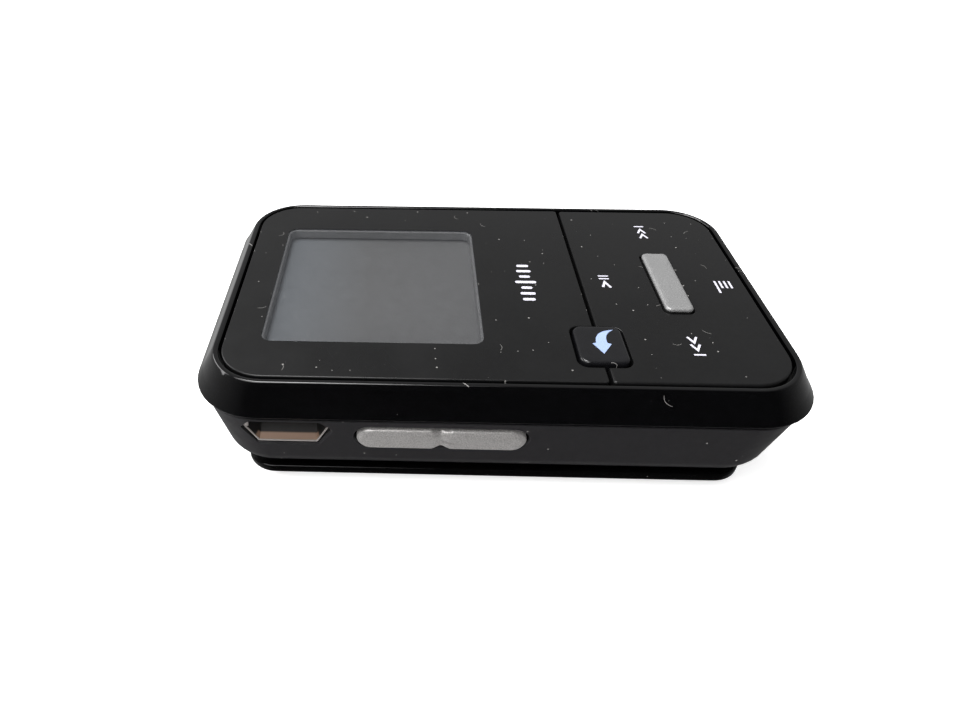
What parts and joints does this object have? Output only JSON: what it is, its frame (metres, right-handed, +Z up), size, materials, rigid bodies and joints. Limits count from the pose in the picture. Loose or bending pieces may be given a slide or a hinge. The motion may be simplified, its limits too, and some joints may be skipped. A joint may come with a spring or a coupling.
{
  "type": "digital audio player",
  "caption": "Pocket music player lying on its spring clip: square screen and four-way key panel on the face, volume rocker and sockets on the sides.",
  "frame": {"origin": "on the clip's underside, below the middle of the body", "axes": "+X from the screen end to the key end, +Y towards the headphone side, +Z up out of the face"},
  "size_m": [0.0578, 0.0364, 0.0151],
  "materials": {
    "bezel_gloss": "piano black, polished",
    "face_black": "semi-gloss black",
    "lens_clear": "clear lens with a black printed surround",
    "shell_satin": "fine satin charcoal",
    "clip_gloss": "gloss black",
    "key_silver": "fine blasted silver",
    "steel_bright": "pressed sheet",
    "gold_contact": "gold plated",
    "insulator_black": "moulded",
    "board_mask": "green solder mask on glass fibre laminate",
    "chip_resin": "moulded resin",
    "display_glass": "dark display stack behind glass",
    "flex_amber": "polyimide film",
    "foam_grey": "foam",
    "tape_black": "adhesive film",
    "cell_foil": "laminated pouch foil",
    "key_rubber": "silicone",
    "lead_red": "insulated wire",
    "lead_black": "insulated wire"
  },
  "bodies": {
    "housing": {"front_bezel": "bezel_gloss", "face_lens": "lens_clear", "lens_tape": "tape_black", "rear_shell": "shell_satin", "display_module": "display_glass", "display_foam": "foam_grey", "display_flex": "flex_amber", "main_board": "board_mask", "processor_chip": "chip_resin", "memory_chip": "chip_resin", "charger_chip": "chip_resin", "tuner_shield": "steel_bright", "board_screw_1": "steel_bright", "board_screw_2": "steel_bright", "board_screw_3": "steel_bright", "board_screw_4": "steel_bright", "usb_receptacle": "steel_bright", "usb_tongue": "insulator_black", "headphone_jack": "insulator_black", "jack_contact": "gold_contact", "card_socket": "steel_bright", "battery_cell": "cell_foil", "battery_board": "board_mask", "battery_foam": "foam_grey", "battery_lead_red": "lead_red", "battery_lead_black": "lead_black", "select_dome": "steel_bright", "back_dome": "steel_bright", "menu_dome": "steel_bright", "play_dome": "steel_bright", "next_dome": "steel_bright", "previous_dome": "steel_bright", "volume_up_switch": "insulator_black", "volume_down_switch": "insulator_black", "power_switch": "insulator_black", "clip_pin": "steel_bright", "clip_spring": "steel_bright"},
    "key_pad": {"key_pad": "key_rubber"},
    "control_panel": {"control_panel": "face_black"},
    "select_button": {"select_button": "key_silver"},
    "back_button": {"back_button": "bezel_gloss"},
    "volume_rocker": {"volume_rocker": "key_silver"},
    "power_button": {"power_button": "key_silver"},
    "clip": {"clip_plate": "clip_gloss"}
  },
  "joints": [
    {"name": "panel_menu_play", "type": "hinge", "parent": "housing", "child": "key_pad", "pos_m": [0.01776, 0, 0.013], "axis": [0, 1, 0], "range_deg": [-1.5, 1.5], "stiffness_Nm_per_rad": 0.5},
    {"name": "panel_next_previous", "type": "hinge", "parent": "key_pad", "child": "control_panel", "pos_m": [0.01776, 0, 0.013], "axis": [1, 0, 0], "range_deg": [-1.5, 1.5], "stiffness_Nm_per_rad": 0.5},
    {"name": "select_press", "type": "slide", "parent": "housing", "child": "select_button", "axis": [0, 0, -1], "range_m": [0, 0.0003], "stiffness_N_per_m": 2000, "springref_m": -0.0003},
    {"name": "back_press", "type": "slide", "parent": "housing", "child": "back_button", "axis": [0, 0, -1], "range_m": [0, 0.0003], "stiffness_N_per_m": 2000, "springref_m": -0.0003},
    {"name": "volume_rock", "type": "hinge", "parent": "housing", "child": "volume_rocker", "pos_m": [-0.00565, -0.0146, 0.00925], "axis": [0, -0.2233, 0.9747], "range_deg": [-2.5, 2.5], "stiffness_Nm_per_rad": 0.2},
    {"name": "power_press", "type": "slide", "parent": "housing", "child": "power_button", "axis": [0.9747, 0, 0.2233], "range_m": [0, 0.0003], "stiffness_N_per_m": 2000, "springref_m": -0.0003},
    {"name": "clip_open", "type": "hinge", "parent": "housing", "child": "clip", "pos_m": [-0.0226, 0, 0.0039], "axis": [0, 1, 0], "range_deg": [0, 12], "stiffness_Nm_per_rad": 0.08, "springref_deg": -45.84}
  ]
}
